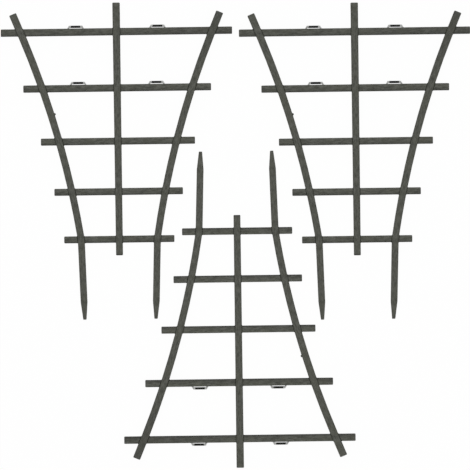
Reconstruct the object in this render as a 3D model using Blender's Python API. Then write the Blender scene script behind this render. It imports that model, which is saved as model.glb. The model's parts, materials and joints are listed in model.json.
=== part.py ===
"""Set of three fan-shaped plant trellis panels.

Each panel is a lattice of two bowed legs, a centre post and five rungs, which
cross in halving joints. The legs run on below the lowest rung as pointed
stakes. Behind the two top rungs sit sockets that take the stakes of another
panel, so that panels stack into a taller support. The set lies on a table:
two panels side by side and one between them, turned end for end. Every panel
rests on its second pair of sockets and on the points of its stakes.

Units are metres, +Z is up. In a panel's own frame +Y runs from the stake
points to the head, +Z is the front, and the back faces lie at Z = 0.
"""

import math

import bmesh
import bpy
from mathutils import Vector

# Layout of the set on the table: the gap between top rungs, how far the head-down
# panel's stakes reach in past the others' stakes, and how the panels lie askew
PANEL_GAP = 0.0082
INTERLEAVE = 0.2044
MIDDLE_SHIFT = 0.0054
PANEL_TURN = math.radians(0.77)

# Heights of one panel, along its post
STAKE_LENGTH = 0.0972
RUNG_COUNT = 5
HEAD_GAP = 0.0682
GAP_RATIO = 0.947
POST_HEAD = 0.0352
POST_FOOT = 0.0195
LEG_HEAD = 0.0243

# Spread of the legs, from the post's centre line to the leg's
STAKE_SPREAD = 0.0462
HEAD_SPREAD = 0.1164
STAKE_LEAN = math.radians(1.75)
LEG_START_ANGLE = math.radians(8.7)
BEND_REACH = 0.0070

# How far the rungs run on past the legs' centre lines
HEAD_RUNG_END = 0.0239
FOOT_RUNG_END = 0.0205

# Sections of the bars, which grow slimmer from the head to the stakes
HEAD_WIDTH = 0.0090
FOOT_WIDTH = 0.0082
UPRIGHT_THICKNESS = 0.0050
RUNG_THICKNESS = 0.0040
FRONT_RADIUS = 0.0010
BACK_CHAMFER = 0.0005
END_CHAMFER = 0.0004
END_RADIUS = 0.0009

# Points of the stakes
POINT_LENGTH = 0.0215
POINT_WIDTH = 0.0040
POINT_THICKNESS = 0.0030

# Halving joints: half of the rung passes under a bridge left on the upright
JOINT_CLEARANCE = 0.0003
CORNER_WEB = 0.0005

# Sockets behind the top rungs
SOCKET_ROW_COUNT = 2
SOCKET_OUTSET = 0.0035
SOCKET_DEPTH_CLEARANCE = 0.0006
CROWN_LENGTH = 0.0165
CROWN_THICKNESS = 0.0014
SOCKET_WIDTH = 0.0028
SOCKET_WALL = 0.0010
SOCKET_BASE = 0.0226
CROWN_GAP = 0.0009
STRAP_CHAMFER = 0.0002
TENON_LENGTH = 0.0012
TENON_SETBACK = 0.0015

# Colours: moulded olive charcoal plastic
BAR_COLOUR = (0.080, 0.085, 0.070, 1.0)
SOCKET_COLOUR = (0.040, 0.042, 0.036, 1.0)
BAR_ROUGHNESS = 0.55

QUARTER_TURN_HALF = math.radians(45)
SMOOTH_ANGLE = math.radians(35)
MERGE_DISTANCE = 1e-6


def rung_height(rung):
    """Height of a rung's centre line above the stake points; rung 1 is the top one."""
    gaps = [HEAD_GAP * GAP_RATIO ** (k - 1) for k in range(rung, RUNG_COUNT)]
    return STAKE_LENGTH + sum(gaps)


def bar_width(height):
    """Width of any bar at a height: bars grow evenly wider from stake shoulder to head."""
    head_height = rung_height(1) + POST_HEAD
    share = (height - POINT_LENGTH) / (head_height - POINT_LENGTH)
    return FOOT_WIDTH + (HEAD_WIDTH - FOOT_WIDTH) * share


def leg_radius():
    """Radius of the leg's bow, through its places at the lowest and the top rung."""
    across = HEAD_SPREAD - STAKE_SPREAD
    along = rung_height(1) - STAKE_LENGTH
    half_turn = math.atan2(across, along) - LEG_START_ANGLE
    return math.hypot(across, along) / (2 * math.sin(half_turn))


def bow_angle(height):
    """Outward lean of the leg on its bow above the lowest rung."""
    rise = (height - STAKE_LENGTH) / leg_radius()
    return math.asin(math.sin(LEG_START_ANGLE) + rise)


def leg_offset(height):
    """Distance from the post's centre line to the leg's: stake, rounded bend, bow."""
    above = height - STAKE_LENGTH
    low = math.tan(STAKE_LEAN)
    if above <= -BEND_REACH:
        return STAKE_SPREAD + low * above
    if above >= BEND_REACH:
        swing = math.cos(LEG_START_ANGLE) - math.cos(bow_angle(height))
        return STAKE_SPREAD + leg_radius() * swing
    turn = math.tan(LEG_START_ANGLE) - low
    return STAKE_SPREAD + low * above + turn * (BEND_REACH + above) ** 2 / (4 * BEND_REACH)


def leg_angle(height):
    """Outward lean of the leg at a height."""
    above = height - STAKE_LENGTH
    if above <= -BEND_REACH:
        return STAKE_LEAN
    if above >= BEND_REACH:
        return bow_angle(height)
    low = math.tan(STAKE_LEAN)
    turn = math.tan(LEG_START_ANGLE) - low
    return math.atan(low + turn * (BEND_REACH + above) / (2 * BEND_REACH))


def rung_half_length(rung):
    """Half the length of a rung: out to the leg and on past it."""
    share = (rung - 1) / (RUNG_COUNT - 1)
    end = HEAD_RUNG_END + (FOOT_RUNG_END - HEAD_RUNG_END) * share
    return leg_offset(rung_height(rung)) + end


def socket_spread(rung):
    """Place of a socket on its rung, in line with the stakes of a stacked panel."""
    drop = rung_height(1) - rung_height(rung)
    return STAKE_SPREAD - drop * math.tan(STAKE_LEAN) + SOCKET_OUTSET


def socket_depth():
    """How far a socket stands off the back of its rung: a stake fits inside."""
    return UPRIGHT_THICKNESS + SOCKET_DEPTH_CLEARANCE + CROWN_THICKNESS


def socket_edge(rung):
    """Height of the rung's upper edge, from which its sockets are set out."""
    height = rung_height(rung)
    return height + bar_width(height) / 2


def panel_lean():
    """Tilt of a panel that rests on its lowest sockets' crowns and its stake points."""
    crown_height = socket_edge(SOCKET_ROW_COUNT) + CROWN_GAP
    return math.atan2(socket_depth(), crown_height)


def bar_section(centre, across, half_width, back=0.0, front=UPRIGHT_THICKNESS,
                inset=0.0, floor=None, roof=None):
    """Ten points round a bar: rounded front edges, chamfered back edges.

    across is the direction of the width in the panel's plane. floor cuts the
    front away down to a level, and roof cuts the back away up to a level.
    """
    half = half_width - inset
    radius = max(FRONT_RADIUS - inset, FRONT_RADIUS / 2)
    chamfer = max(BACK_CHAMFER - inset, BACK_CHAMFER / 2)
    back += inset
    front -= inset
    bite = radius * (1 - math.cos(QUARTER_TURN_HALF))
    low = [(half - chamfer, back), (half, back + chamfer)]
    high = [(half, front - radius), (half - bite, front - bite), (half - radius, front)]
    if roof is not None:
        low = [(v, roof) for v, z in low]
    if floor is not None:
        high = [(v, floor) for v, z in high]
    side = low + high
    ring = side + [(-v, z) for v, z in reversed(side)]
    return [Vector((centre[0] + across[0] * v, centre[1] + across[1] * v, z)) for v, z in ring]


def rounded_end(section_at, end, outward):
    """Sections that round an end's corners, from the bar out to its end.

    outward is 1 where the bar's places grow towards this end, and -1 where they shrink.
    """
    bite = END_RADIUS * (1 - math.cos(QUARTER_TURN_HALF))
    steps = ((END_RADIUS, 0.0, 0.0), (bite, bite, 0.0), (0.0, END_RADIUS - END_CHAMFER, END_CHAMFER))
    return [section_at(end - outward * back, trim=trim, inset=inset) for back, trim, inset in steps]


def loft(name, sections):
    """Closed mesh through a row of sections; sections that share a plane make a step."""
    mesh_data = bmesh.new()
    rings = [[mesh_data.verts.new(point) for point in section] for section in sections]
    for near, far in zip(rings, rings[1:]):
        for i in range(len(near)):
            j = (i + 1) % len(near)
            mesh_data.faces.new((near[i], near[j], far[j], far[i]))
    mesh_data.faces.new(rings[0])
    mesh_data.faces.new(rings[-1])
    bmesh.ops.remove_doubles(mesh_data, verts=mesh_data.verts, dist=MERGE_DISTANCE)
    bmesh.ops.dissolve_degenerate(mesh_data, edges=mesh_data.edges, dist=MERGE_DISTANCE)
    bmesh.ops.recalc_face_normals(mesh_data, faces=mesh_data.faces)
    mesh = bpy.data.meshes.new(name)
    mesh_data.to_mesh(mesh)
    mesh_data.free()
    mesh.shade_smooth()
    mesh.set_sharp_from_angle(angle=SMOOTH_ANGLE)
    return mesh


def plastic(name, colour):
    """Satin moulded plastic for one piece."""
    material = bpy.data.materials.new(name)
    material.use_nodes = True
    shader = material.node_tree.nodes["Principled BSDF"]
    shader.inputs["Base Color"].default_value = colour
    shader.inputs["Roughness"].default_value = BAR_ROUGHNESS
    shader.inputs["Metallic"].default_value = 0.0
    return material


def place(name, mesh, panel, location, colour):
    """Put a piece on its panel under its own name and material."""
    piece = bpy.data.objects.new(name, mesh)
    mesh.materials.append(plastic(name, colour))
    bpy.context.collection.objects.link(piece)
    piece.parent = panel
    piece.location = location
    return piece


def seat_half(rung):
    """Half the height of a rung's swollen seat, where an upright crosses it."""
    return bar_width(rung_height(rung)) / 2 + CORNER_WEB


def leg_swing(rung):
    """How far the bent leg departs from a straight line across a rung's seat."""
    height = rung_height(rung)
    slope = math.tan(leg_angle(height))
    steps = (-seat_half(rung), seat_half(rung))
    return max(abs(leg_offset(height + s) - leg_offset(height) - slope * s) for s in steps)


def crossing_sections(rung, section_at):
    """Sections of an upright's halving notch over a rung, from foot side to head side."""
    reach = seat_half(rung) + JOINT_CLEARANCE
    height = rung_height(rung)
    roof = RUNG_THICKNESS / 2 + JOINT_CLEARANCE
    sections = [section_at(height - reach)]
    for step in (-reach, 0.0, reach):
        sections.append(section_at(height + step, roof=roof))
    sections.append(section_at(height + reach))
    return sections


def leg_mesh(name, side):
    """Bowed leg with a pointed stake; side is -1 for the left one, 1 for the right."""
    tip_offset = leg_offset(0.0)

    def section_at(height, **cut):
        """Level section of the leg at a height, wider than square by its lean."""
        centre = (side * (leg_offset(height) - tip_offset), height)
        half = bar_width(height) / 2 / math.cos(leg_angle(height))
        return bar_section(centre, (1, 0), half, **cut)

    blunt = {"across": (1, 0), "half_width": POINT_WIDTH / 2, "front": POINT_THICKNESS}
    sections = [
        bar_section((0, 0), inset=END_CHAMFER, **blunt),
        bar_section((0, END_CHAMFER), **blunt),
        section_at(POINT_LENGTH),
    ]
    for rung in range(RUNG_COUNT, 0, -1):
        sections += crossing_sections(rung, section_at)
        if rung > 1:
            middle = (rung_height(rung) + rung_height(rung - 1)) / 2
            sections.append(section_at(middle))

    top = rung_height(1)
    angle = leg_angle(top)
    along = Vector((side * math.sin(angle), math.cos(angle)))
    square = (math.cos(angle), -side * math.sin(angle))
    root = Vector((side * (leg_offset(top) - tip_offset), top))
    half = bar_width(top + LEG_HEAD) / 2

    def head_section(reach, trim=0.0, **cut):
        """Square section of the leg's straight head, past the top rung."""
        return bar_section(root + along * reach, square, half - trim, **cut)

    sections += rounded_end(head_section, LEG_HEAD, 1)
    return loft(name, sections)


def post_mesh(name):
    """Straight centre post, its foot end at the mesh's origin."""
    foot = STAKE_LENGTH - POST_FOOT
    head = rung_height(1) + POST_HEAD

    def section_at(height, trim=0.0, **cut):
        """Square section of the post at a height."""
        return bar_section((0, height - foot), (1, 0), bar_width(height) / 2 - trim, **cut)

    sections = rounded_end(section_at, foot, -1)[::-1]
    for rung in range(RUNG_COUNT, 0, -1):
        sections += crossing_sections(rung, section_at)
    sections += rounded_end(section_at, head, 1)
    return loft(name, sections)


def seat_sections(centre, slope, half_opening, half_width):
    """Sections of a rung across one upright: webs swell it, and the seat is cut down.

    slope is the upright's sideways run for each metre of height, so that the
    seat's walls stand along the upright's sides.
    """
    across = (slope, 1)
    bite = CORNER_WEB * (1 - math.cos(QUARTER_TURN_HALF))
    webs = [(CORNER_WEB, 0.0), (bite, bite), (0.0, CORNER_WEB)]
    approach = [
        bar_section((centre - half_opening - run, 0), across, half_width + rise, front=RUNG_THICKNESS)
        for run, rise in webs
    ]
    leave = [
        bar_section((centre + half_opening + run, 0), across, half_width + rise, front=RUNG_THICKNESS)
        for run, rise in reversed(webs)
    ]
    seat = [
        bar_section((centre + side * half_opening, 0), across, half_width + CORNER_WEB,
                    front=RUNG_THICKNESS, floor=RUNG_THICKNESS / 2)
        for side in (-1, 1)
    ]
    return approach + seat + leave


def rung_mesh(name, rung):
    """Rung with three seats for the uprights, centred on the mesh's origin."""
    height = rung_height(rung)
    half_length = rung_half_length(rung)
    half_width = bar_width(height) / 2
    angle = leg_angle(height)
    post_opening = half_width + JOINT_CLEARANCE
    leg_opening = post_opening / math.cos(angle) + leg_swing(rung)
    offset = leg_offset(height)

    def end_section(x, trim=0.0, **cut):
        """Plain section near an end of the rung."""
        return bar_section((x, 0), (0, 1), half_width - trim, front=RUNG_THICKNESS, **cut)

    sections = rounded_end(end_section, -half_length, -1)[::-1]
    sections += seat_sections(-offset, -math.tan(angle), leg_opening, half_width)
    sections += seat_sections(0.0, 0.0, post_opening, half_width)
    sections += seat_sections(offset, math.tan(angle), leg_opening, half_width)
    sections += rounded_end(end_section, half_length, 1)
    return loft(name, sections)


def cut_mortises(rung_piece, rung):
    """Cut the blind pockets for the socket tenons into the back of a rung."""
    outer = SOCKET_BASE / 2 + JOINT_CLEARANCE
    inner = SOCKET_BASE / 2 - SOCKET_WALL - JOINT_CLEARANCE
    near = bar_width(rung_height(rung)) / 2 - TENON_SETBACK + JOINT_CLEARANCE
    far = near - SOCKET_WIDTH - 2 * JOINT_CLEARANCE
    depth = TENON_LENGTH + JOINT_CLEARANCE
    cutter_data = bmesh.new()
    for side in (-1, 1):
        for foot in (-1, 1):
            centre = side * socket_spread(rung) + foot * (outer + inner) / 2
            box = bmesh.ops.create_cube(cutter_data, size=1.0)["verts"]
            bmesh.ops.scale(cutter_data, verts=box, vec=(outer - inner, near - far, 2 * depth))
            bmesh.ops.translate(cutter_data, verts=box, vec=(centre, (near + far) / 2, 0))
    cutter_mesh = bpy.data.meshes.new("mortise_cutter")
    cutter_data.to_mesh(cutter_mesh)
    cutter_data.free()
    cutter = bpy.data.objects.new("mortise_cutter", cutter_mesh)
    bpy.context.collection.objects.link(cutter)
    cutter.parent = rung_piece

    cut = rung_piece.modifiers.new("Mortises", "BOOLEAN")
    cut.operation = "DIFFERENCE"
    cut.solver = "EXACT"
    cut.object = cutter
    bpy.context.view_layer.update()
    evaluated = rung_piece.evaluated_get(bpy.context.evaluated_depsgraph_get())
    finished = bpy.data.meshes.new_from_object(evaluated)
    rung_piece.modifiers.remove(cut)
    rung_piece.data = finished
    bpy.data.objects.remove(cutter)


def socket_mesh(name):
    """Socket loop: two tenons, two splayed sides and a crown that clears the rung's edge.

    The sides lean past the rung's upper edge, so the crown stands clear of the
    rung when it is seen from the front. The mesh's origin is on that edge.
    """
    base = SOCKET_BASE / 2
    crown = CROWN_LENGTH / 2
    depth = socket_depth()
    inner_depth = depth - CROWN_THICKNESS
    corner = CROWN_THICKNESS / 2
    foot_edge = -TENON_SETBACK - SOCKET_WIDTH
    lean_run = CROWN_GAP - foot_edge

    def section(outer, inner):
        """Eight points round the strap at one place along it, its four edges chamfered."""
        outer = Vector(outer)
        inner = Vector(inner)
        step = (inner - outer).normalized() * STRAP_CHAMFER
        near, far = STRAP_CHAMFER, SOCKET_WIDTH - STRAP_CHAMFER
        corners = [(outer, near), (outer, far), (outer + step, SOCKET_WIDTH), (inner - step, SOCKET_WIDTH),
                   (inner, far), (inner, near), (inner - step, 0), (outer + step, 0)]
        ring = []
        for (x, z), width in corners:
            leaned = lean_run * min(max(-z / inner_depth, 0), 1)
            ring.append(Vector((x, foot_edge + width + leaned, z)))
        return ring

    half_strap = [
        ((base, TENON_LENGTH), (base - SOCKET_WALL, TENON_LENGTH)),
        ((base, 0), (base - SOCKET_WALL, 0)),
        ((crown, corner - depth), (crown - SOCKET_WALL, -inner_depth)),
        ((crown - corner, -depth), (crown - SOCKET_WALL - corner, -inner_depth)),
    ]
    other_half = [((-outer[0], outer[1]), (-inner[0], inner[1])) for outer, inner in reversed(half_strap)]
    return loft(name, [section(outer, inner) for outer, inner in half_strap + other_half])


def build_panel(prefix, head_point, turn):
    """One panel, with its top rung's middle over a point of the table."""
    lean = panel_lean()
    panel = bpy.data.objects.new(prefix, None)
    bpy.context.collection.objects.link(panel)
    reach = rung_height(1) * math.cos(lean)
    panel.location = (head_point[0] + reach * math.sin(turn), head_point[1] - reach * math.cos(turn), 0)
    panel.rotation_euler = (lean, 0, turn)

    for side_name, side in (("left", -1), ("right", 1)):
        name = f"{prefix}_{side_name}_leg"
        place(name, leg_mesh(name, side), panel, (side * leg_offset(0.0), 0, 0), BAR_COLOUR)
    name = f"{prefix}_centre_post"
    place(name, post_mesh(name), panel, (0, STAKE_LENGTH - POST_FOOT, 0), BAR_COLOUR)
    for rung in range(1, RUNG_COUNT + 1):
        name = f"{prefix}_rung_{rung}"
        piece = place(name, rung_mesh(name, rung), panel, (0, rung_height(rung), 0), BAR_COLOUR)
        if rung <= SOCKET_ROW_COUNT:
            cut_mortises(piece, rung)
            for side_name, side in (("left", -1), ("right", 1)):
                name = f"{prefix}_{side_name}_socket_{rung}"
                location = (side * socket_spread(rung), socket_edge(rung), 0)
                place(name, socket_mesh(name), panel, location, SOCKET_COLOUR)


def main():
    """Clear the scene and lay out the three panels."""
    for old in list(bpy.data.objects):
        bpy.data.objects.remove(old, do_unlink=True)
    column = rung_half_length(1) + PANEL_GAP / 2
    row = rung_height(1) - INTERLEAVE / 2
    build_panel("left_panel", (-column, row), PANEL_TURN)
    build_panel("right_panel", (column, row), PANEL_TURN)
    build_panel("middle_panel", (MIDDLE_SHIFT, -row), math.pi + PANEL_TURN)


main()
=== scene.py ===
"""Looks of a set of three fan-shaped plant trellis panels on a white table.

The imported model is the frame. Every leg, post, rung and socket keeps its own
shape and gets a moulded plastic finish, with a grain that follows that bar.
The gate stub that moulding leaves on each left leg is modelled here.

Lengths are in metres. In a panel's own frame +X runs along the rungs, +Y from
the stake points to the head, and +Z out of the front; the backs lie at Z = 0.
"""

import json
import math
from typing import NamedTuple

import bmesh
import bpy
from mathutils import Matrix, Vector


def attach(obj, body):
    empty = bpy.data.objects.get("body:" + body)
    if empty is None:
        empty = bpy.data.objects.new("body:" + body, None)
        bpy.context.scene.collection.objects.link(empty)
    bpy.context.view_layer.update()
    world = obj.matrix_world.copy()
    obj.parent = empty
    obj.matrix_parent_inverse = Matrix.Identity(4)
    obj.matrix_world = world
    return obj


bl_info = {
    "name": "Trellis Panel Set",
    "version": (1, 0, 0),
    "blender": (4, 5, 0),
    "location": "3D View > Sidebar > Trellis",
    "description": "Finishes, gate stubs and studio stage for a set of three trellis panels",
    "category": "Object",
}

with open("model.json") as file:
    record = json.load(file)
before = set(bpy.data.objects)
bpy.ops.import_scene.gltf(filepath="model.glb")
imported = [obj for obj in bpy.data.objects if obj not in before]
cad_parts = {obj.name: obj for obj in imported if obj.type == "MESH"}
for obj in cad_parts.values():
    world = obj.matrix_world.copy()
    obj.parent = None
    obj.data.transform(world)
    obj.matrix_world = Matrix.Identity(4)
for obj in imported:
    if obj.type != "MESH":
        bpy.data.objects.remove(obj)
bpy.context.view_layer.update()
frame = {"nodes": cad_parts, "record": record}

PANELS = ("left_panel", "right_panel", "middle_panel")
SIDES = ("left", "right")
RUNGS = (1, 2, 3, 4, 5)
SOCKET_ROWS = (1, 2)

# Sizes of a panel that the finishes and the stubs follow
UPRIGHT_THICKNESS = 0.0050
STAKE_MOUNT_HEIGHT = 0.060
STAKE_LENGTH = 0.0972
STAKE_SPREAD = 0.0462
STAKE_LEAN = math.radians(1.75)
BOW_START = math.radians(8.7)
BOW_RADIUS = 1.09230
LEG_HALF_WIDTH = 0.00435
CROWN_DARK_HALF = 0.0060
CROWN_HALF_WIDTH = 0.0014
PARTING_HEIGHT = 0.0012
END_SHADE_REACH = 0.0022

# Where the shade at the right corner of a panel's head starts and is full, across the panel and up it
CORNER_ACROSS = (-0.020, 0.130)
CORNER_UP = (0.270, 0.360)

# Gate stub: its broken end as shares of its root, the end's small sizes, its tearing and its edges' angles
STUB_END_TALL = 0.72
STUB_END_THICK = 0.70
STUB_RIM = 0.00022
STUB_SUNK = 0.00008
STUB_ROUNDING = 0.00018
STUB_BEHIND_MIDDLE = 0.0003
STUB_END_FACING = 0.9
STUB_END_BAND = 1.5 * STUB_SUNK
STUB_TORN = 0.6
STUB_EDGE_ANGLE = math.radians(50)
STUB_SMOOTH_ANGLE = math.radians(40)
MERGE_DISTANCE = 0.000004

# Stage: height viewed, a pixel's size there, the view's shift in pixels, the camera's range, lamps and table
VIEWED_HEIGHT = 0.007
PIXEL = 0.0012137
VIEW_SHIFT = (-0.47, 0.16)
CLIP_START = 0.5
CLIP_END = 40.0
LAMP_SIZE = 2.0
KEY_PLACE = (-0.5, 0.8, 2.7)
FILL_PLACE = (0.9, -0.9, 2.5)
TABLE_DARK = (0.80, 0.80, 0.79, 1.0)
TABLE_LIGHT = (0.83, 0.83, 0.82, 1.0)
TABLE_ROUGHNESS = (0.7, 0.8)
WHITE_RAYS = ("Is Camera Ray", "Is Glossy Ray", "Is Transmission Ray")

# Where nodes lie in the shader editor
NODE_STEP_X = 180
NODE_STEP_Y = -160
NODE_ROWS = 3
GROUP_END_X = 4000
SHADER_X = 4600
OUTPUT_X = 4900


class Pattern(NamedTuple):
    """A noise pattern: its detail and roughness, and the noise values that its share runs between."""

    detail: float
    roughness: float
    start: float
    end: float


STREAKS = Pattern(3.0, 0.60, 0.28, 0.72)
SOFT_PATCHES = Pattern(2.0, 0.50, 0.30, 0.70)
RUBBED_SPOTS = Pattern(4.0, 0.60, 0.42, 0.66)
SCRATCHES = Pattern(1.0, 0.40, 0.66, 0.76)
SCRATCHED_AREAS = Pattern(2.0, 0.50, 0.46, 0.62)
DUST_SPECKS = Pattern(3.0, 0.65, 0.52, 0.74)
DUSTY_AREAS = Pattern(2.0, 0.50, 0.38, 0.68)
SOCKET_FLECKS = Pattern(3.0, 0.60, 0.30, 0.55)
TABLE_MOTTLE = Pattern(3.0, 0.50, 0.20, 0.80)

# Scales of the patterns that have no size of their own, in waves a metre, and the fine skin's noise
SKIN_SCALE = 2600.0
SKIN_DETAIL = 2.0
SKIN_ROUGHNESS = 0.6
SCRATCHED_AREA_SCALE = 130.0
DUSTY_AREA_SCALE = 75.0
FLECK_SCALE = 1900.0
TABLE_MOTTLE_SCALE = 14.0

# The scratches' slant across a bar, and how far a leg's pattern is moved along it, each side the other way
SCRATCH_TURN = math.radians(7)
SIDE_SHIFT = 0.5

# Where the grain of each kind of piece starts along it, so that no two bars of a panel look alike
POST_SEED = 0.9
RUNG_SEED = 2.0
RUNG_SEED_STEP = 0.7
STUB_SEED = 0.3
SOCKET_SEED = 5.0
SOCKET_SEED_STEP = 0.6
SOCKET_SIDE_SEED = 0.2

# Where the painted shade along a rung's foot edge starts and is full, as shares of half its width
RUNG_SHADE_START = 0.32
RUNG_SHADE_FULL = 0.80

# Grain of the sockets, the border between a crown's middle in painted shade and its sides in a painted
# highlight, and their tones, with the painted shade across the crown
SOCKET_STREAK_WIDTH = 0.0009
SOCKET_STREAK_LENGTH = 0.0032
BORDER_HALF = 0.00025
BORDER_WOBBLE = 0.0007
PALE_LEAST = 0.72
CROWN_STREAKS = (0.60, 1.40)
CROWN_SHADE_SHIFT = -0.35

# Cosines where a face starts to count and counts in full, from the softened normal or from straight up
EDGE_START, EDGE_FULL = 0.995, 0.80
TOP_START, TOP_FULL = 0.35, 0.95
SIDE_START, SIDE_FULL = 0.5, 0.2
BACK_START, BACK_FULL = -0.7, -0.95

# How the marks change the roughness and stand out of the surface, as a share of the grain's depth
STREAK_ROUGHNESS = 0.05
WORN_POLISH = 0.12
DUST_ROUGHNESS = 0.25
SCUFF_HEIGHT = -0.6
PARTING_LINE_HEIGHT = 1.6
PARTING_LINE_CREST = 0.2
RING_HEIGHT = -1.2
STREAK_HEIGHT = 0.55
SKIN_HEIGHT = 0.45
GRAIN_STRENGTH = 0.8


def mount(name):
    """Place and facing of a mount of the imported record."""
    for row in frame["record"]["mounts"]:
        if row["name"] == name:
            return Vector(row["pos_m"]), Vector(row["axis"])
    raise RuntimeError(f"the packed record has no mount named {name}")


def panel_matrix(panel):
    """Where a panel's own frame lies, worked out from the mounts on its two stakes."""
    left, _ = mount(f"{panel}_left_stake_front")
    right, facing = mount(f"{panel}_right_stake_front")
    along_rungs = (right - left).normalized()
    upwards = facing.cross(along_rungs).normalized()
    facing = along_rungs.cross(upwards)
    origin = (left + right) / 2 - upwards * STAKE_MOUNT_HEIGHT - facing * UPRIGHT_THICKNESS
    axes = Matrix((along_rungs, upwards, facing)).transposed()
    return Matrix.Translation(origin) @ axes.to_4x4()


def cad_node(node):
    """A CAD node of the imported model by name."""
    if node not in frame["nodes"]:
        raise RuntimeError(f"the packed model has no node named {node}")
    return frame["nodes"][node]


def node_span(panel, node):
    """Lowest and highest corner of a CAD node in its panel's own frame."""
    into_panel = panel_matrix(panel).inverted()
    points = [into_panel @ vertex.co for vertex in cad_node(node).data.vertices]
    low = Vector([min(point[axis] for point in points) for axis in range(3)])
    high = Vector([max(point[axis] for point in points) for axis in range(3)])
    return low, high


def bow_offset(height):
    """Distance from the post's centre line to a leg's, on the bow above the lowest rung."""
    rise = math.sin(BOW_START) + (height - STAKE_LENGTH) / BOW_RADIUS
    return STAKE_SPREAD + BOW_RADIUS * (math.cos(BOW_START) - math.sqrt(1 - rise * rise))


def bow_lean(height):
    """Outward lean of a leg at a height on its bow."""
    return math.asin(math.sin(BOW_START) + (height - STAKE_LENGTH) / BOW_RADIUS)


class Wiring:
    """Adds nodes to one tree, left to right, and wires them up."""

    def __init__(self, tree):
        self.tree = tree
        self.count = 0

    def node(self, kind, **settings):
        """A new node with its settings, placed right of the last one."""
        made = self.tree.nodes.new(kind)
        made.location = (self.count * NODE_STEP_X, (self.count % NODE_ROWS) * NODE_STEP_Y)
        self.count += 1
        for name, value in settings.items():
            setattr(made, name, value)
        return made

    def feed(self, socket, value):
        """Wires an output to a socket, or sets the socket to a plain value."""
        if isinstance(value, bpy.types.NodeSocket):
            self.tree.links.new(value, socket)
        else:
            socket.default_value = value

    def math(self, operation, first, second=0.0, clamp=False):
        """Result of one Math node."""
        node = self.node("ShaderNodeMath", operation=operation, use_clamp=clamp)
        self.feed(node.inputs[0], first)
        self.feed(node.inputs[1], second)
        return node.outputs[0]

    def product(self, *shares):
        """Two or more shares multiplied together."""
        result = shares[0]
        for share in shares[1:]:
            result = self.math("MULTIPLY", result, share)
        return result

    def ramp(self, value, start, end, low=0.0, high=1.0):
        """Value taken smoothly from low to high as it runs from start to end."""
        node = self.node("ShaderNodeMapRange", interpolation_type="SMOOTHSTEP")
        settings = {"Value": value, "From Min": start, "From Max": end, "To Min": low, "To Max": high}
        for name, part in settings.items():
            self.feed(node.inputs[name], part)
        return node.outputs["Result"]

    def split(self, vector):
        """The three numbers of a vector."""
        node = self.node("ShaderNodeSeparateXYZ")
        self.feed(node.inputs[0], vector)
        return node.outputs

    def join(self, x, y, z):
        """A vector from three numbers."""
        node = self.node("ShaderNodeCombineXYZ")
        for socket, value in zip(node.inputs, (x, y, z)):
            self.feed(socket, value)
        return node.outputs[0]

    def stretch(self, parts, sizes):
        """A vector from three numbers, each divided by its size."""
        return self.join(*(self.math("DIVIDE", part, size) for part, size in zip(parts, sizes)))

    def noise(self, vector, scale, detail, roughness):
        """Noise on a vector."""
        node = self.node("ShaderNodeTexNoise")
        settings = {"Vector": vector, "Scale": scale, "Detail": detail, "Roughness": roughness}
        for name, value in settings.items():
            self.feed(node.inputs[name], value)
        return node.outputs["Fac"]

    def pattern(self, vector, scale, kind, low=0.0, high=1.0):
        """A noise pattern on a vector, as a share from low to high."""
        noise = self.noise(vector, scale, kind.detail, kind.roughness)
        return self.ramp(noise, kind.start, kind.end, low, high)

    def blend(self, share, base, top, mode="MIX"):
        """Top colour laid over the base by a share."""
        node = self.node("ShaderNodeMix", data_type="RGBA", blend_type=mode)
        self.feed(node.inputs["Factor"], share)
        self.feed(node.inputs["A"], base)
        self.feed(node.inputs["B"], top)
        return node.outputs["Result"]


def shader_group(name, inputs, outputs):
    """A new shader node group with its sockets: its wiring, its inputs and its outputs."""
    group = bpy.data.node_groups.new(name, "ShaderNodeTree")
    for label, kind, value in inputs:
        socket = group.interface.new_socket(label, in_out="INPUT", socket_type=kind)
        if value is not None:
            socket.default_value = value
    for label, kind in outputs:
        group.interface.new_socket(label, in_out="OUTPUT", socket_type=kind)
    wiring = Wiring(group)
    entry = wiring.node("NodeGroupInput")
    leave = group.nodes.new("NodeGroupOutput")
    leave.location = (GROUP_END_X, 0)
    return wiring, entry.outputs, leave.inputs


def ready_group(name, build):
    """The node group of that name, built on first use."""
    return bpy.data.node_groups.get(name) or build(name)


def place_group(wiring, name, build, **values):
    """A node group placed in a material with its own values; its outputs."""
    node = wiring.node("ShaderNodeGroup", node_tree=ready_group(name, build))
    for label, value in values.items():
        wiring.feed(node.inputs[label.replace("_", " ")], value)
    return node.outputs


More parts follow.
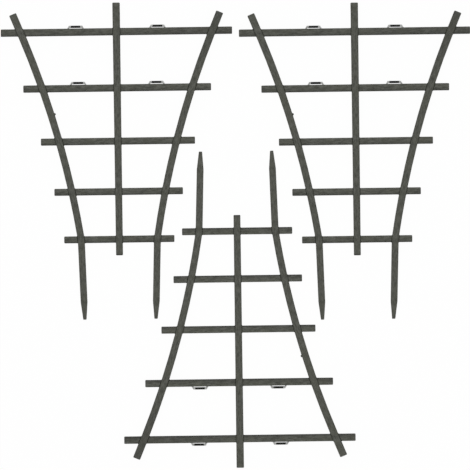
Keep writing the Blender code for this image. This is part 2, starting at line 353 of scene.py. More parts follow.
def build_leg_flow(name):
    """Follows a leg's stake and bow: gives distance across it, height and depth."""
    wiring, given, out = shader_group(
        name,
        (
            ("Vector", "NodeSocketVector", None),
            ("Spread", "NodeSocketFloat", STAKE_SPREAD),
            ("Stake Length", "NodeSocketFloat", STAKE_LENGTH),
            ("Stake Slope", "NodeSocketFloat", math.tan(STAKE_LEAN)),
            ("Bow Radius", "NodeSocketFloat", BOW_RADIUS),
            ("Bow Start", "NodeSocketFloat", BOW_START),
        ),
        (("Vector", "NodeSocketVector"), ("Across", "NodeSocketFloat")),
    )
    x, y, z = wiring.split(given["Vector"])
    above = wiring.math("SUBTRACT", y, given["Stake Length"])
    stake_part = wiring.math("MULTIPLY", wiring.math("MINIMUM", above, 0.0), given["Stake Slope"])
    rise = wiring.math("DIVIDE", wiring.math("MAXIMUM", above, 0.0), given["Bow Radius"])
    rise = wiring.math("ADD", rise, wiring.math("SINE", given["Bow Start"]))
    flat = wiring.math("SQRT", wiring.math("SUBTRACT", 1.0, wiring.math("MULTIPLY", rise, rise)))
    swing = wiring.math("SUBTRACT", wiring.math("COSINE", given["Bow Start"]), flat)
    offset = wiring.math("ADD", wiring.math("MULTIPLY", swing, given["Bow Radius"]), given["Spread"])
    offset = wiring.math("ADD", offset, stake_part)
    across = wiring.math("SUBTRACT", wiring.math("ABSOLUTE", x), offset)
    apart = wiring.math("MULTIPLY", wiring.math("SIGN", x), SIDE_SHIFT)
    wiring.feed(out["Vector"], wiring.join(across, wiring.math("ADD", y, apart), z))
    wiring.feed(out["Across"], across)
    return wiring.tree


def build_moulded_grain(name):
    """Lengthwise flow streaks, soft patches and the fine skin of moulded plastic."""
    wiring, given, out = shader_group(
        name,
        (
            ("Vector", "NodeSocketVector", None),
            ("Streak Width", "NodeSocketFloat", 0.0012),
            ("Streak Length", "NodeSocketFloat", 0.006),
            ("Patch Size", "NodeSocketFloat", 0.012),
            ("Seed", "NodeSocketFloat", 0.0),
        ),
        (("Streak", "NodeSocketFloat"), ("Patch", "NodeSocketFloat"), ("Height", "NodeSocketFloat")),
    )
    x, y, z = wiring.split(given["Vector"])
    y = wiring.math("ADD", y, given["Seed"])
    width, length = given["Streak Width"], given["Streak Length"]
    streak = wiring.pattern(wiring.stretch((x, y, z), (width, length, width)), 1.0, STREAKS)
    size = given["Patch Size"]
    patch = wiring.pattern(wiring.stretch((x, y, z), (size, size, size)), 1.0, SOFT_PATCHES)
    skin = wiring.noise(wiring.join(x, y, z), SKIN_SCALE, SKIN_DETAIL, SKIN_ROUGHNESS)
    streak_part = wiring.math("MULTIPLY", streak, STREAK_HEIGHT)
    height = wiring.math("ADD", streak_part, wiring.math("MULTIPLY", skin, SKIN_HEIGHT))
    wiring.feed(out["Streak"], streak)
    wiring.feed(out["Patch"], patch)
    wiring.feed(out["Height"], height)
    return wiring.tree


def build_edge_wear(name):
    """Softens edges and finds where handling has rubbed them paler."""
    wiring, given, out = shader_group(
        name,
        (
            ("Vector", "NodeSocketVector", None),
            ("Edge Radius", "NodeSocketFloat", 0.0006),
            ("Patch Size", "NodeSocketFloat", 0.005),
            ("Amount", "NodeSocketFloat", 0.5),
        ),
        (("Mask", "NodeSocketFloat"), ("Normal", "NodeSocketVector")),
    )
    bevel = wiring.node("ShaderNodeBevel", samples=6)
    wiring.feed(bevel.inputs["Radius"], given["Edge Radius"])
    true_normal = wiring.node("ShaderNodeNewGeometry").outputs["True Normal"]
    dot = wiring.node("ShaderNodeVectorMath", operation="DOT_PRODUCT")
    wiring.feed(dot.inputs[0], bevel.outputs[0])
    wiring.feed(dot.inputs[1], true_normal)
    turned = wiring.ramp(dot.outputs["Value"], EDGE_START, EDGE_FULL)
    rubbed = wiring.pattern(given["Vector"], wiring.math("DIVIDE", 1.0, given["Patch Size"]), RUBBED_SPOTS)
    wiring.feed(out["Mask"], wiring.product(turned, rubbed, given["Amount"]))
    wiring.feed(out["Normal"], bevel.outputs[0])
    return wiring.tree


def build_scuffs(name):
    """Short fine scratches that run mostly along a bar."""
    wiring, given, out = shader_group(
        name,
        (
            ("Vector", "NodeSocketVector", None),
            ("Scratch Width", "NodeSocketFloat", 0.00022),
            ("Scratch Length", "NodeSocketFloat", 0.005),
            ("Amount", "NodeSocketFloat", 0.5),
        ),
        (("Mask", "NodeSocketFloat"),),
    )
    turn = wiring.node("ShaderNodeMapping")
    wiring.feed(turn.inputs["Vector"], given["Vector"])
    turn.inputs["Rotation"].default_value = (0.0, 0.0, SCRATCH_TURN)
    width, length = given["Scratch Width"], given["Scratch Length"]
    thin = wiring.stretch(wiring.split(turn.outputs[0]), (width, length, width))
    lines = wiring.pattern(thin, 1.0, SCRATCHES)
    where = wiring.pattern(given["Vector"], SCRATCHED_AREA_SCALE, SCRATCHED_AREAS)
    wiring.feed(out["Mask"], wiring.product(lines, where, given["Amount"]))
    return wiring.tree


def build_settled_dust(name):
    """Fine dust on faces that look up, thicker in patches."""
    wiring, given, out = shader_group(
        name,
        (
            ("Vector", "NodeSocketVector", None),
            ("Grain Size", "NodeSocketFloat", 0.0011),
            ("Amount", "NodeSocketFloat", 0.3),
        ),
        (("Mask", "NodeSocketFloat"),),
    )
    upwards = wiring.split(wiring.node("ShaderNodeNewGeometry").outputs["Normal"])[2]
    lying = wiring.ramp(upwards, TOP_START, TOP_FULL)
    specks = wiring.pattern(given["Vector"], wiring.math("DIVIDE", 1.0, given["Grain Size"]), DUST_SPECKS)
    areas = wiring.pattern(given["Vector"], DUSTY_AREA_SCALE, DUSTY_AREAS)
    wiring.feed(out["Mask"], wiring.product(specks, areas, lying, given["Amount"]))
    return wiring.tree


def build_mould_marks(name):
    """The parting line round a bar's sides and the ejector rings on its back."""
    wiring, given, out = shader_group(
        name,
        (
            ("Vector", "NodeSocketVector", None),
            ("Parting Height", "NodeSocketFloat", PARTING_HEIGHT),
            ("Parting Width", "NodeSocketFloat", 0.00018),
            ("Ring Spacing", "NodeSocketFloat", 0.042),
            ("Ring Radius", "NodeSocketFloat", 0.0017),
            ("Ring Width", "NodeSocketFloat", 0.00022),
            ("Ring Crest", "NodeSocketFloat", 0.00006),
        ),
        (("Parting", "NodeSocketFloat"), ("Ring", "NodeSocketFloat")),
    )
    x, y, z = wiring.split(given["Vector"])
    away = wiring.math("ABSOLUTE", wiring.math("SUBTRACT", z, given["Parting Height"]))
    away = wiring.math("DIVIDE", away, given["Parting Width"])
    on_line = wiring.ramp(away, 1.0, PARTING_LINE_CREST)
    normal = wiring.split(wiring.node("ShaderNodeNewGeometry").outputs["Normal"])[2]
    sideways = wiring.ramp(wiring.math("ABSOLUTE", normal), SIDE_START, SIDE_FULL)
    wiring.feed(out["Parting"], wiring.math("MULTIPLY", on_line, sideways))
    spacing = given["Ring Spacing"]
    step = wiring.math("WRAP", y, wiring.math("MULTIPLY", spacing, 0.5))
    wiring.feed(step.node.inputs[2], wiring.math("MULTIPLY", spacing, -0.5))
    squares = (wiring.math("MULTIPLY", x, x), wiring.math("MULTIPLY", step, step))
    far = wiring.math("SQRT", wiring.math("ADD", *squares))
    off_ring = wiring.math("ABSOLUTE", wiring.math("SUBTRACT", far, given["Ring Radius"]))
    ring = wiring.ramp(off_ring, given["Ring Width"], given["Ring Crest"])
    downwards = wiring.ramp(normal, BACK_START, BACK_FULL)
    wiring.feed(out["Ring"], wiring.math("MULTIPLY", ring, downwards))
    return wiring.tree


def build_corner_shade(name):
    """The soft drift of a panel's tone: a share that falls towards the right corner of its head."""
    wiring, given, out = shader_group(
        name,
        (("Vector", "NodeSocketVector", None), ("Amount", "NodeSocketFloat", 0.28)),
        (("Share", "NodeSocketFloat"),),
    )
    x, y, _ = wiring.split(given["Vector"])
    shade = wiring.product(wiring.ramp(x, *CORNER_ACROSS), wiring.ramp(y, *CORNER_UP), given["Amount"])
    wiring.feed(out["Share"], wiring.math("SUBTRACT", 1.0, shade))
    return wiring.tree


def new_material(name):
    """An empty material: its wiring and its shader node."""
    material = bpy.data.materials.new(name)
    material.use_nodes = True
    material.node_tree.nodes.clear()
    wiring = Wiring(material.node_tree)
    shader = material.node_tree.nodes.new("ShaderNodeBsdfPrincipled")
    shader.location = (SHADER_X, 0)
    output = material.node_tree.nodes.new("ShaderNodeOutputMaterial")
    output.location = (OUTPUT_X, 0)
    wiring.feed(output.inputs["Surface"], shader.outputs[0])
    return material, wiring, shader


def white_share(wiring):
    """1 for the rays that see the ground as plain white, and 0 for those that carry its light."""
    path = wiring.node("ShaderNodeLightPath")
    seen = 0.0
    for ray in WHITE_RAYS:
        seen = wiring.math("MAXIMUM", seen, path.outputs[ray])
    return seen


def placed_vector(wiring, panel, centre=(0.0, 0.0, 0.0)):
    """Coordinates in a panel's own frame, from a centre on it."""
    place = panel_matrix(panel)
    mapping = wiring.node("ShaderNodeMapping", vector_type="TEXTURE")
    wiring.feed(mapping.inputs["Vector"], wiring.node("ShaderNodeTexCoord").outputs["Object"])
    mapping.inputs["Location"].default_value = place @ Vector(centre)
    mapping.inputs["Rotation"].default_value = place.to_euler()
    return mapping.outputs[0]


def finish_surface(wiring, shader, colour, roughness, height, normal):
    """Feeds the shader its colour and roughness, and raises the grain on the softened normal."""
    looks = bpy.context.scene.trellis_finish
    wiring.feed(shader.inputs["Base Color"], colour)
    wiring.feed(shader.inputs["Roughness"], roughness)
    bump = wiring.node("ShaderNodeBump")
    wiring.feed(bump.inputs["Height"], height)
    wiring.feed(bump.inputs["Normal"], normal)
    bump.inputs["Strength"].default_value = GRAIN_STRENGTH
    bump.inputs["Distance"].default_value = looks.grain_depth
    wiring.feed(shader.inputs["Normal"], bump.outputs[0])


def finish_bar(wiring, shader, vector, tone=None, seed=0.0):
    """Satin moulded plastic whose grain runs along the vector's Y; tone is a lighter or darker share."""
    looks = bpy.context.scene.trellis_finish
    grain = place_group(
        wiring,
        "Moulded grain",
        build_moulded_grain,
        Vector=vector,
        Streak_Width=looks.streak_width,
        Streak_Length=looks.streak_length,
        Seed=seed,
    )
    wear = place_group(wiring, "Edge wear", build_edge_wear, Vector=vector, Amount=looks.edge_wear)
    scuffs = place_group(wiring, "Scuffs", build_scuffs, Vector=vector, Amount=looks.scuffs)
    dust = place_group(wiring, "Settled dust", build_settled_dust, Vector=vector, Amount=looks.dust)
    marks = place_group(wiring, "Mould marks", build_mould_marks, Vector=vector)
    colour = wiring.blend(grain["Streak"], (*looks.streak_dark, 1.0), (*looks.streak_light, 1.0))
    olive = wiring.math("MULTIPLY", grain["Patch"], looks.patch_share)
    colour = wiring.blend(olive, colour, (*looks.patch_olive, 1.0))
    if tone is not None:
        shade = wiring.join(tone, tone, tone)
        colour = wiring.blend(1.0, colour, shade, "MULTIPLY")
    worn = wiring.math("MAXIMUM", wear["Mask"], scuffs["Mask"])
    colour = wiring.blend(worn, colour, (*looks.worn_colour, 1.0))
    colour = wiring.blend(dust["Mask"], colour, (*looks.dust_colour, 1.0))
    roughest, smoothest = looks.roughness + STREAK_ROUGHNESS, looks.roughness - STREAK_ROUGHNESS
    rough = wiring.ramp(grain["Streak"], 0.0, 1.0, roughest, smoothest)
    rough = wiring.math("SUBTRACT", rough, wiring.math("MULTIPLY", wear["Mask"], WORN_POLISH))
    rough = wiring.math("ADD", rough, wiring.math("MULTIPLY", dust["Mask"], DUST_ROUGHNESS), clamp=True)
    height = grain["Height"]
    for mark, rise in (
        (scuffs["Mask"], SCUFF_HEIGHT),
        (marks["Parting"], PARTING_LINE_HEIGHT),
        (marks["Ring"], RING_HEIGHT),
    ):
        height = wiring.math("ADD", height, wiring.math("MULTIPLY", mark, rise))
    finish_surface(wiring, shader, colour, rough, height, wear["Normal"])
    shader.inputs["Specular IOR Level"].default_value = looks.gloss


def painted_light_across(wiring, across, half_width, amount):
    """Painted light and shade across a bar: a share that runs from darker at one edge to lighter at the
    other.
    """
    return wiring.ramp(across, -half_width, half_width, 1.0 - amount, 1.0 + amount)


def shade_end(wiring, inwards, amount):
    """A share that darkens the last millimetre of a bar, from the distance inwards from its end."""
    return wiring.ramp(inwards, END_SHADE_REACH * 0.5, END_SHADE_REACH, 1.0 - amount, 1.0)


def socket_seed(side, row):
    """Where the grain of a socket starts, so that no two sockets of a panel look alike."""
    return SOCKET_SEED + row * SOCKET_SEED_STEP + (SOCKET_SIDE_SEED if side == "right" else -SOCKET_SIDE_SEED)


def shade_corner(wiring, vector):
    """A share that darkens a bar near the right corner of its panel's head."""
    amount = bpy.context.scene.trellis_finish.corner_shade
    return place_group(wiring, "Corner shade", build_corner_shade, Vector=vector, Amount=amount)["Share"]


def dress(node, material):
    """Gives a CAD node its finish."""
    data = cad_node(node).data
    data.materials.clear()
    data.materials.append(material)


def deselect_all():
    """Leaves nothing selected and nothing active."""
    if bpy.context.mode != "OBJECT":
        bpy.ops.object.mode_set(mode="OBJECT")
    bpy.ops.object.select_all(action="DESELECT")
    bpy.context.view_layer.objects.active = None


def pick(piece, kind, test):
    """In edit mode, selects only the verts, edges or faces of a kind that pass a test."""
    bpy.ops.mesh.select_mode(type={"verts": "VERT", "edges": "EDGE", "faces": "FACE"}[kind])
    bpy.ops.mesh.select_all(action="DESELECT")
    mesh = bmesh.from_edit_mesh(piece.data)
    found = 0
    for part in getattr(mesh, kind):
        if test(part):
            part.select_set(True)
            found += 1
    mesh.select_flush_mode()
    bmesh.update_edit_mesh(piece.data)
    if not found:
        raise RuntimeError(f"{piece.name}: no {kind} were found to shape")


def is_sharp(edge):
    """Whether two faces of the stub meet at a sharp edge."""
    return len(edge.link_faces) == 2 and edge.calc_face_angle() > STUB_EDGE_ANGLE


class TrellisFinish(bpy.types.PropertyGroup):
    """Colours and surface of the moulded bars and sockets."""

    streak_dark: bpy.props.FloatVectorProperty(
        name="Streak dark", description="Darker tone of the bars' grain", subtype="COLOR",
        size=3, min=0.0, max=1.0, default=(0.0218, 0.0233, 0.0167),
    )
    streak_light: bpy.props.FloatVectorProperty(
        name="Streak light", description="Lighter tone of the bars' grain", subtype="COLOR",
        size=3, min=0.0, max=1.0, default=(0.0709, 0.0731, 0.0605),
    )
    patch_olive: bpy.props.FloatVectorProperty(
        name="Olive patch", description="Tone of the soft olive patches on the bars", subtype="COLOR",
        size=3, min=0.0, max=1.0, default=(0.0513, 0.0531, 0.0367),
    )
    patch_share: bpy.props.FloatProperty(
        name="Patch share", description="How strongly the olive patches show", subtype="FACTOR",
        min=0.0, max=1.0, default=0.45,
    )
    worn_colour: bpy.props.FloatVectorProperty(
        name="Worn edge", description="Colour of rubbed edges and fine scratches", subtype="COLOR",
        size=3, min=0.0, max=1.0, default=(0.165, 0.165, 0.150),
    )
    dust_colour: bpy.props.FloatVectorProperty(
        name="Dust", description="Colour of settled dust", subtype="COLOR",
        size=3, min=0.0, max=1.0, default=(0.240, 0.225, 0.190),
    )
    # Painted shade: the crowns are the bars' plastic, drawn near black as they lie in shade
    socket_dark: bpy.props.FloatVectorProperty(
        name="Socket", description="Colour of the sockets' crowns", subtype="COLOR",
        size=3, min=0.0, max=1.0, default=(0.012, 0.013, 0.011),
    )
    # Painted highlight: the sockets' slanted sides are drawn pale where they catch light and reflect the
    # white table; they are the bars' dark plastic
    socket_pale: bpy.props.FloatVectorProperty(
        name="Socket sides", description="Colour of the sockets' rubbed, slanted sides", subtype="COLOR",
        size=3, min=0.0, max=1.0, default=(0.560, 0.565, 0.550),
    )
    streak_width: bpy.props.FloatProperty(
        name="Streak width", description="Width of one streak of the grain", subtype="DISTANCE",
        unit="LENGTH", min=0.0001, default=0.0017,
    )
    streak_length: bpy.props.FloatProperty(
        name="Streak length", description="Length of one streak of the grain", subtype="DISTANCE",
        unit="LENGTH", min=0.0005, default=0.0065,
    )
    grain_depth: bpy.props.FloatProperty(
        name="Grain depth", description="Depth of the grain in the plastic's skin", subtype="DISTANCE",
        unit="LENGTH", min=0.0, default=0.00012,
    )
    roughness: bpy.props.FloatProperty(
        name="Roughness", description="Middle roughness of the bars", subtype="FACTOR",
        min=0.0, max=1.0, default=0.52,
    )
    gloss: bpy.props.FloatProperty(
        name="Gloss", description="Strength of the bars' reflection", subtype="FACTOR",
        min=0.0, max=1.0, default=0.28,
    )
    socket_gloss: bpy.props.FloatProperty(
        name="Socket gloss", description="Strength of the sockets' reflection", subtype="FACTOR",
        min=0.0, max=1.0, default=0.12,
    )
    socket_roughness: bpy.props.FloatProperty(
        name="Socket roughness", description="Roughness of the sockets' dark crowns", subtype="FACTOR",
        min=0.0, max=1.0, default=0.62,
    )
    # Roughness of the slanted sides that carry the painted highlight
    polish: bpy.props.FloatProperty(
        name="Polish", description="Roughness of the sockets' rubbed sides", subtype="FACTOR",
        min=0.0, max=1.0, default=0.24,
    )
    edge_wear: bpy.props.FloatProperty(
        name="Edge wear", description="How much of the edges is rubbed", subtype="FACTOR",
        min=0.0, max=1.0, default=0.55,
    )
    socket_wear: bpy.props.FloatProperty(
        name="Socket wear", description="How much of the crowns' edges is rubbed", subtype="FACTOR",
        min=0.0, max=1.0, default=0.10,
    )
    scuffs: bpy.props.FloatProperty(
        name="Scuffs", description="How strongly fine scratches show", subtype="FACTOR",
        min=0.0, max=1.0, default=0.30,
    )
    dust: bpy.props.FloatProperty(
        name="Dust amount", description="How much dust has settled", subtype="FACTOR",
        min=0.0, max=1.0, default=0.16,
    )
    socket_dust: bpy.props.FloatProperty(
        name="Socket dust", description="How much dust has settled on the sockets", subtype="FACTOR",
        min=0.0, max=1.0, default=0.05,
    )
    # Painted light: a rung is drawn lighter at its head edge and darker towards its foot edge, as light
    # falling from the head side leaves it
    rung_tone: bpy.props.FloatProperty(
        name="Rung tone", description="How much lighter a rung is at its head edge than in its middle",
        subtype="FACTOR", min=0.0, max=0.5, default=0.15,
    )
    # Painted shade: a rung is drawn darker along its foot edge, where its side lies in shade
    rung_grime: bpy.props.FloatProperty(
        name="Rung grime", description="How much darker a rung is along its foot edge",
        subtype="FACTOR", min=0.0, max=0.9, default=0.47,
    )
    foot_shade: bpy.props.FloatProperty(
        name="Foot shade", description="How much darker a post's foot is at its very end",
        subtype="FACTOR", min=0.0, max=0.9, default=0.60,
    )
    rung_end_shade: bpy.props.FloatProperty(
        name="Rung end shade", description="How much darker a rung is at its very ends",
        subtype="FACTOR", min=0.0, max=0.9, default=0.16,
    )
    corner_shade: bpy.props.FloatProperty(
        name="Corner shade", description="How much darker a panel is towards the right corner of its head",
        subtype="FACTOR", min=0.0, max=0.9, default=0.28,
    )


class TrellisStub(bpy.types.PropertyGroup):
    """Sizes of the gate stub on each left leg."""

    height: bpy.props.FloatProperty(
        name="Height", description="Height of the stub's middle above the stake points",
        subtype="DISTANCE", unit="LENGTH", default=0.2500,
    )
    length: bpy.props.FloatProperty(
        name="Length", description="Length of the stub along the leg", subtype="DISTANCE",
        unit="LENGTH", default=0.0031,
    )
    reach: bpy.props.FloatProperty(
        name="Reach", description="How far the stub stands out of the leg", subtype="DISTANCE",
        unit="LENGTH", default=0.0013,
    )
    root: bpy.props.FloatProperty(
        name="Root", description="How deep the stub is rooted in the leg", subtype="DISTANCE",
        unit="LENGTH", default=0.0006,
    )
    thickness: bpy.props.FloatProperty(
        name="Thickness", description="Thickness of the stub from back to front", subtype="DISTANCE",
        unit="LENGTH", default=0.0020,
    )


class TrellisStage(bpy.types.PropertyGroup):
    """Table, lamps and camera."""

    floor_size: bpy.props.FloatProperty(
        name="Floor size", description="Side of the pale floor", subtype="DISTANCE",
        unit="LENGTH", default=16.0,
    )
    floor_glow: bpy.props.FloatProperty(
        name="Floor white", description="Share of plain white that the camera sees on the floor",
        subtype="FACTOR", min=0.0, max=1.0, default=0.97,
    )
    camera_distance: bpy.props.FloatProperty(
        name="Camera distance", description="Height of the camera above the panels",
        subtype="DISTANCE_CAMERA", unit="LENGTH", default=4.754,
    )
    lens: bpy.props.FloatProperty(
        name="Lens", description="Focal length of the camera", subtype="NONE", unit="CAMERA", default=300.0,
    )
    key_power: bpy.props.FloatProperty(
        name="Key power", description="Power of the large soft lamp", unit="POWER", default=30.0,
    )
    fill_power: bpy.props.FloatProperty(
        name="Fill power", description="Power of the weaker lamp across from it", unit="POWER", default=16.0,
    )
    world_level: bpy.props.FloatProperty(
        name="Room light", description="Level of the light from all round", subtype="FACTOR",
        min=0.0, max=1.0, default=0.55,
    )


class TRELLIS_OT_finish_legs(bpy.types.Operator):
    """Gives the two bowed legs of each panel their moulded plastic"""

    bl_idname = "trellis.finish_legs"
    bl_label = "Finish legs"

    def execute(self, context):
        for panel in PANELS:
            for side in SIDES:
                node = f"{panel}_{side}_leg"
                material, wiring, shader = new_material(f"{node}_plastic")
                vector = placed_vector(wiring, panel)
                flow = place_group(wiring, "Leg flow", build_leg_flow, Vector=vector)
                finish_bar(wiring, shader, flow["Vector"], shade_corner(wiring, vector))
                dress(node, material)
        return {"FINISHED"}


class TRELLIS_OT_finish_posts(bpy.types.Operator):
    """Gives each panel's centre post its moulded plastic"""

    bl_idname = "trellis.finish_posts"
    bl_label = "Finish centre posts"

    def execute(self, context):
        looks = context.scene.trellis_finish
        for panel in PANELS:
            node = f"{panel}_centre_post"
            material, wiring, shader = new_material(f"{node}_plastic")
            foot, _ = node_span(panel, node)
            vector = placed_vector(wiring, panel)
            inwards = wiring.math("SUBTRACT", wiring.split(vector)[1], foot.y)
            tone = wiring.product(shade_end(wiring, inwards, looks.foot_shade), shade_corner(wiring, vector))
            finish_bar(wiring, shader, vector, tone, seed=POST_SEED)
            dress(node, material)
        return {"FINISHED"}


class TRELLIS_OT_finish_rungs(bpy.types.Operator):
    """Gives the five rungs of each panel their moulded plastic"""

    bl_idname = "trellis.finish_rungs"
    bl_label = "Finish rungs"

    def execute(self, context):
        looks = context.scene.trellis_finish
        for panel in PANELS:
            for rung in RUNGS:
                node = f"{panel}_rung_{rung}"
                material, wiring, shader = new_material(f"{node}_plastic")
                low, high = node_span(panel, node)
                half_width = (high.y - low.y) / 2
                x, y, z = wiring.split(placed_vector(wiring, panel, (0.0, (low.y + high.y) / 2, 0.0)))
                along = wiring.join(y, x, z)
                # Painted light and shade across the rung: lighter at its head edge, darker towards its foot
                # edge
                tone = painted_light_across(wiring, y, half_width, looks.rung_tone)
                # Painted shade: a darker band along the rung's foot edge
                clean, grimy = -half_width * RUNG_SHADE_START, -half_width * RUNG_SHADE_FULL
                painted_edge_shade = wiring.ramp(y, clean, grimy, 1.0, 1.0 - looks.rung_grime)
                inwards = wiring.math("SUBTRACT", (high.x - low.x) / 2, wiring.math("ABSOLUTE", x))
                ends = shade_end(wiring, inwards, looks.rung_end_shade)
                corner = shade_corner(wiring, placed_vector(wiring, panel))
                tone = wiring.product(tone, painted_edge_shade, ends, corner)
                finish_bar(wiring, shader, along, tone, seed=RUNG_SEED + rung * RUNG_SEED_STEP)
                dress(node, material)
        return {"FINISHED"}


class TRELLIS_OT_finish_sockets(bpy.types.Operator):
    """Gives the four sockets of each panel a near-black crown of painted shade and pale sides of painted
    highlight
    """

    bl_idname = "trellis.finish_sockets"
    bl_label = "Finish sockets"

    def execute(self, context):
        for panel in PANELS:
            for row in SOCKET_ROWS:
                for side in SIDES:
                    self.finish_socket(context.scene.trellis_finish, panel, side, row)
        return {"FINISHED"}

    def finish_socket(self, looks, panel, side, row):
        """Finishes one socket, on coordinates that start in the middle of its crown."""
        node = f"{panel}_{side}_socket_{row}"
        material, wiring, shader = new_material(f"{node}_plastic")
        low, high = node_span(panel, node)
        crown = ((low.x + high.x) / 2, high.y - CROWN_HALF_WIDTH, 0.0)
        vector = placed_vector(wiring, panel, crown)
        x, y, z = wiring.split(vector)
        along = wiring.join(y, x, z)
        grain = place_group(
            wiring,
            "Moulded grain",
            build_moulded_grain,
            Vector=along,
            Streak_Width=SOCKET_STREAK_WIDTH,
            Streak_Length=SOCKET_STREAK_LENGTH,
            Seed=socket_seed(side, row),
        )
        wear = place_group(wiring, "Edge wear", build_edge_wear, Vector=along, Amount=looks.socket_wear)
        dust = place_group(wiring, "Settled dust", build_settled_dust, Vector=along, Amount=looks.socket_dust)
        # Painted highlight: the share of the slanted sides past the crown's middle, with a wobbling border
        # and flecks, drawn pale
        wobble = wiring.math("MULTIPLY", wiring.math("SUBTRACT", grain["Streak"], 0.5), BORDER_WOBBLE)
        sideways = wiring.math("ADD", wiring.math("ABSOLUTE", x), wobble)
        rubbed = wiring.ramp(sideways, CROWN_DARK_HALF - BORDER_HALF, CROWN_DARK_HALF + BORDER_HALF)
        fleck = wiring.pattern(vector, FLECK_SCALE, SOCKET_FLECKS, PALE_LEAST, 1.0)
        rubbed = wiring.math("MULTIPLY", rubbed, fleck)
        # Painted shade on the crown: near black, streaked, and darker towards its edge nearer the head
        streaks = wiring.ramp(grain["Streak"], 0.0, 1.0, *CROWN_STREAKS)
        tone = wiring.math("MULTIPLY", streaks, painted_light_across(wiring, y, CROWN_HALF_WIDTH, CROWN_SHADE_SHIFT))
        dark = wiring.blend(1.0, (*looks.socket_dark, 1.0), wiring.join(tone, tone, tone), "MULTIPLY")
        # The crown's painted shade, with the painted highlight laid over the slanted sides
        colour = wiring.blend(rubbed, dark, (*looks.socket_pale, 1.0))
        worn = wiring.math("MULTIPLY", wear["Mask"], wiring.math("SUBTRACT", 1.0, rubbed))
        colour = wiring.blend(worn, colour, (*looks.worn_colour, 1.0))
        colour = wiring.blend(dust["Mask"], colour, (*looks.dust_colour, 1.0))
        rough = wiring.ramp(rubbed, 0.0, 1.0, looks.socket_roughness, looks.polish)
        rough = wiring.math("ADD", rough, wiring.math("MULTIPLY", dust["Mask"], DUST_ROUGHNESS), clamp=True)
        finish_surface(wiring, shader, colour, rough, grain["Height"], wear["Normal"])
        shader.inputs["Specular IOR Level"].default_value = looks.socket_gloss
        dress(node, material)


class TRELLIS_OT_gate_stubs(bpy.types.Operator):
    """Models the broken-off gate stub on the inner side of each panel's left leg"""

    bl_idname = "trellis.gate_stubs"
    bl_label = "Model gate stubs"

    def execute(self, context):
        sizes = context.scene.trellis_stub
        stub = self.model_stub(context, sizes)
        for panel in PANELS:
            self.place_copy(context, sizes, stub, panel)
        bpy.data.objects.remove(stub, do_unlink=True)
        return {"FINISHED"}

    def model_stub(self, context, sizes):
        """The stub on its own at the origin: its root at -X, and its torn, sunk end at +X."""
        deselect_all()
        deep, tall, thick = sizes.reach + sizes.root, sizes.length, sizes.thickness
        bpy.ops.mesh.primitive_cube_add(size=1.0, location=(0.0, 0.0, 0.0), scale=(deep, tall, thick))
        stub = context.view_layer.objects.active
        stub.name = "gate_stub_pattern"
        bpy.ops.object.transform_apply(location=True, rotation=True, scale=True)
        bpy.ops.object.mode_set(mode="EDIT")
        end = deep / 2
        pick(stub, "faces", lambda face: face.normal.x > STUB_END_FACING)
        bpy.ops.transform.resize(
            value=(1.0, STUB_END_TALL, STUB_END_THICK), center_override=(end, 0.0, 0.0)
        )
        bpy.ops.mesh.inset(thickness=STUB_RIM, depth=-STUB_SUNK)
        pick(stub, "faces", lambda face: face.calc_center_median().x > end - STUB_END_BAND)
        bpy.ops.mesh.subdivide(number_cuts=3, fractal=STUB_TORN, fractal_along_normal=1.0, seed=7)
        pick(stub, "edges", is_sharp)
        bpy.ops.mesh.bevel(offset=STUB_ROUNDING, segments=3, profile=0.5, affect="EDGES")
        bpy.ops.mesh.select_all(action="SELECT")
        bpy.ops.mesh.remove_doubles(threshold=MERGE_DISTANCE)
        bpy.ops.mesh.normals_make_consistent(inside=False)
        bpy.ops.object.mode_set(mode="OBJECT")
        bpy.ops.object.shade_smooth_by_angle(angle=STUB_SMOOTH_ANGLE)
        return stub

    def place_copy(self, context, sizes, stub, panel):
        """A copy of the stub, set into the inner side of a panel's left leg and finished like it."""
        piece = stub.copy()
        piece.data = stub.data.copy()
        piece.name = f"{panel}_gate_stub"
        context.collection.objects.link(piece)
        lean = bow_lean(sizes.height)
        inner = bow_offset(sizes.height) - LEG_HALF_WIDTH / math.cos(lean)
        out = -inner - (sizes.reach + sizes.root) / 2 + sizes.reach
        depth = UPRIGHT_THICKNESS / 2 - STUB_BEHIND_MIDDLE
        spot = Matrix.Translation(Vector((out, sizes.height, depth)))
        piece.matrix_world = panel_matrix(panel) @ spot @ Matrix.Rotation(lean, 4, "Z")
        deselect_all()
        piece.select_set(True)
        context.view_layer.objects.active = piece
        bpy.ops.object.transform_apply(location=True, rotation=True, scale=True)
        material, wiring, shader = new_material(f"{panel}_gate_stub_plastic")
        flow = place_group(wiring, "Leg flow", build_leg_flow, Vector=placed_vector(wiring, panel))
        finish_bar(wiring, shader, flow["Vector"], seed=STUB_SEED)
        piece.data.materials.clear()
        piece.data.materials.append(material)
        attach(piece, panel)


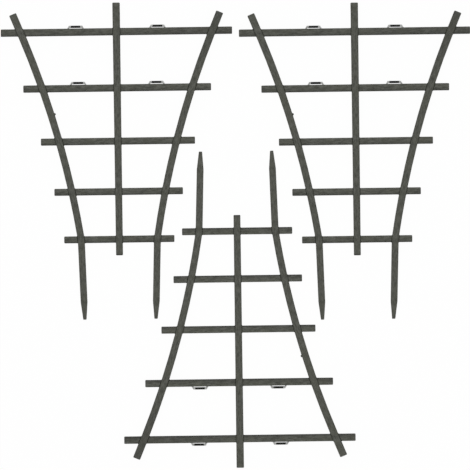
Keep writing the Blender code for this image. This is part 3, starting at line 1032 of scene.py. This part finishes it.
class TRELLIS_OT_stage(bpy.types.Operator):
    """Sets the white table, the soft lamps and the camera straight above"""

    bl_idname = "trellis.stage"
    bl_label = "Set the stage"

    def execute(self, context):
        plan = context.scene.trellis_stage
        self.add_floor(plan)
        self.add_world(context, plan)
        self.add_lamp("key_lamp", plan.key_power, KEY_PLACE)
        self.add_lamp("fill_lamp", plan.fill_power, FILL_PLACE)
        across, up = (shift * PIXEL for shift in VIEW_SHIFT)
        eye = Vector((across, up, plan.camera_distance + VIEWED_HEIGHT))
        bpy.ops.object.camera_add(location=eye, rotation=(0.0, 0.0, 0.0))
        camera = context.view_layer.objects.active
        camera.name = "photo_camera"
        camera.data.lens = plan.lens
        camera.data.clip_start = CLIP_START
        camera.data.clip_end = CLIP_END
        context.scene.camera = camera
        context.scene.view_settings.view_transform = "Standard"
        return {"FINISHED"}

    def add_floor(self, plan):
        """A pale table top that keeps the object's faint shadow and looks white."""
        deselect_all()
        bpy.ops.mesh.primitive_plane_add(size=plan.floor_size, location=(0.0, 0.0, 0.0))
        floor = bpy.context.view_layer.objects.active
        floor.name = "table_top"
        bpy.ops.object.transform_apply(location=True, rotation=True, scale=True)
        material, wiring, shader = new_material("table_white")
        shader.inputs["Specular IOR Level"].default_value = 0.0
        coordinates = wiring.node("ShaderNodeTexCoord").outputs["Object"]
        mottle = wiring.noise(coordinates, TABLE_MOTTLE_SCALE, TABLE_MOTTLE.detail, TABLE_MOTTLE.roughness)
        rough = wiring.ramp(mottle, TABLE_MOTTLE.start, TABLE_MOTTLE.end, *TABLE_ROUGHNESS)
        wiring.feed(shader.inputs["Base Color"], wiring.blend(mottle, TABLE_DARK, TABLE_LIGHT))
        wiring.feed(shader.inputs["Roughness"], rough)
        glow = wiring.node("ShaderNodeEmission")
        glow.inputs["Strength"].default_value = 1.0
        lit = wiring.node("ShaderNodeMixShader")
        wiring.feed(lit.inputs[0], wiring.math("MULTIPLY", white_share(wiring), plan.floor_glow))
        wiring.feed(lit.inputs[1], shader.outputs[0])
        wiring.feed(lit.inputs[2], glow.outputs[0])
        below = wiring.node("ShaderNodeMixShader")
        wiring.feed(below.inputs[0], wiring.node("ShaderNodeNewGeometry").outputs["Backfacing"])
        wiring.feed(below.inputs[1], lit.outputs[0])
        wiring.feed(below.inputs[2], wiring.node("ShaderNodeBsdfTransparent").outputs[0])
        output = next(node for node in material.node_tree.nodes if node.type == "OUTPUT_MATERIAL")
        wiring.feed(output.inputs["Surface"], below.outputs[0])
        floor.data.materials.append(material)

    def add_world(self, context, plan):
        """Even light from all round, seen as white."""
        world = bpy.data.worlds.new("room")
        context.scene.world = world
        world.use_nodes = True
        world.node_tree.nodes.clear()
        wiring = Wiring(world.node_tree)
        level = wiring.ramp(white_share(wiring), 0.0, 1.0, plan.world_level, 1.0)
        light = wiring.node("ShaderNodeBackground")
        light.inputs["Color"].default_value = (1.0, 1.0, 1.0, 1.0)
        wiring.feed(light.inputs["Strength"], level)
        wiring.feed(wiring.node("ShaderNodeOutputWorld").inputs["Surface"], light.outputs[0])

    def add_lamp(self, name, power, place):
        """A square soft lamp that faces the middle of the set."""
        bpy.ops.object.light_add(type="AREA", location=place)
        lamp = bpy.context.view_layer.objects.active
        lamp.name = name
        lamp.data.energy = power
        lamp.data.size = LAMP_SIZE
        lamp.rotation_euler = (-Vector(place)).to_track_quat("-Z", "Y").to_euler()
        lamp.visible_camera = False


OPERATORS = (
    TRELLIS_OT_finish_legs,
    TRELLIS_OT_finish_posts,
    TRELLIS_OT_finish_rungs,
    TRELLIS_OT_finish_sockets,
    TRELLIS_OT_gate_stubs,
    TRELLIS_OT_stage,
)


class TRELLIS_PT_panel(bpy.types.Panel):
    """Lists the steps that finish the trellis set"""

    bl_idname = "TRELLIS_PT_panel"
    bl_label = "Trellis Panel Set"
    bl_space_type = "VIEW_3D"
    bl_region_type = "UI"
    bl_category = "Trellis"

    def draw(self, context):
        layout = self.layout
        for operator in OPERATORS:
            layout.operator(operator.bl_idname)
        scene = context.scene
        for settings in (scene.trellis_finish, scene.trellis_stub, scene.trellis_stage):
            box = layout.box()
            for name in settings.__annotations__:
                box.prop(settings, name)


CLASSES = (TrellisFinish, TrellisStub, TrellisStage, *OPERATORS, TRELLIS_PT_panel)


def register():
    """Registers the classes and hangs the settings on the scene."""
    for cls in CLASSES:
        bpy.utils.register_class(cls)
    bpy.types.Scene.trellis_finish = bpy.props.PointerProperty(type=TrellisFinish)
    bpy.types.Scene.trellis_stub = bpy.props.PointerProperty(type=TrellisStub)
    bpy.types.Scene.trellis_stage = bpy.props.PointerProperty(type=TrellisStage)


def unregister():
    """Takes the settings and the classes away again."""
    del bpy.types.Scene.trellis_stage
    del bpy.types.Scene.trellis_stub
    del bpy.types.Scene.trellis_finish
    for cls in reversed(CLASSES):
        bpy.utils.unregister_class(cls)


def main():
    """Runs every step in order."""
    register()
    bpy.ops.trellis.finish_legs()
    bpy.ops.trellis.finish_posts()
    bpy.ops.trellis.finish_rungs()
    bpy.ops.trellis.finish_sockets()
    bpy.ops.trellis.gate_stubs()
    bpy.ops.trellis.stage()
    bpy.context.view_layer.update()


if __name__ == "__main__":
    main()
